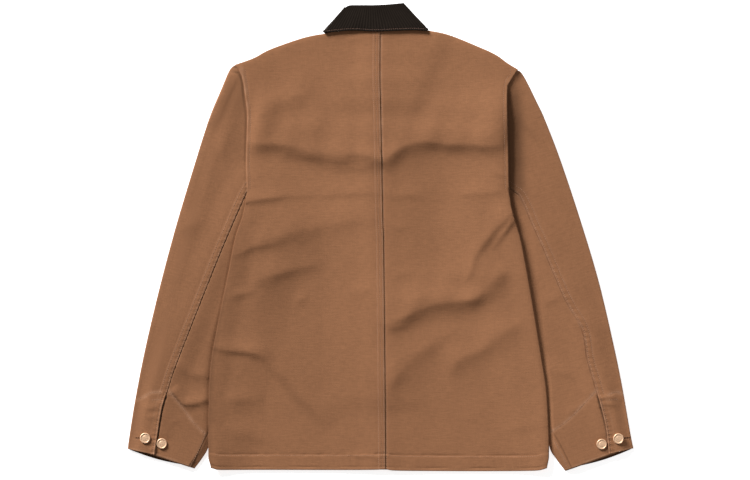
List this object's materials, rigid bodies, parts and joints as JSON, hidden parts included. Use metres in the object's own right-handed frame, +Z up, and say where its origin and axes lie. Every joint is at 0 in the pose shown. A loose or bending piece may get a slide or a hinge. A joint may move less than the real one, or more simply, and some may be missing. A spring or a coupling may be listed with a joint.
{
  "type": "chore jacket",
  "caption": "Canvas chore jacket with a corduroy collar and buttoned cuffs, laid flat on its front with the back upward.",
  "frame": {"origin": "middle of the outline's bounding box, on the surface the jacket lies on", "axes": "+X across the jacket from the sleeve on the left of the back to the one on the right, the longest way; +Y towards the collar; +Z up from the surface, out of the back"},
  "size_m": [0.824, 0.7633, 0.0123],
  "materials": {
    "duck_canvas": "matt washed duck canvas, brown",
    "corduroy": "matt corduroy, near black brown",
    "brass": "dull antique brass"
  },
  "bodies": {
    "root": {"back_left": "duck_canvas", "back_right": "duck_canvas", "front_left": "duck_canvas", "front_right": "duck_canvas", "sleeve_left_outer": "duck_canvas", "sleeve_left_inner": "duck_canvas", "sleeve_right_outer": "duck_canvas", "sleeve_right_inner": "duck_canvas", "collar": "corduroy", "cuff_button_left_tab": "brass", "cuff_button_left_panel": "brass", "cuff_button_right_tab": "brass", "cuff_button_right_panel": "brass", "front_button_1": "brass", "front_button_2": "brass", "front_button_3": "brass", "front_button_4": "brass"}
  },
  "joints": []
}
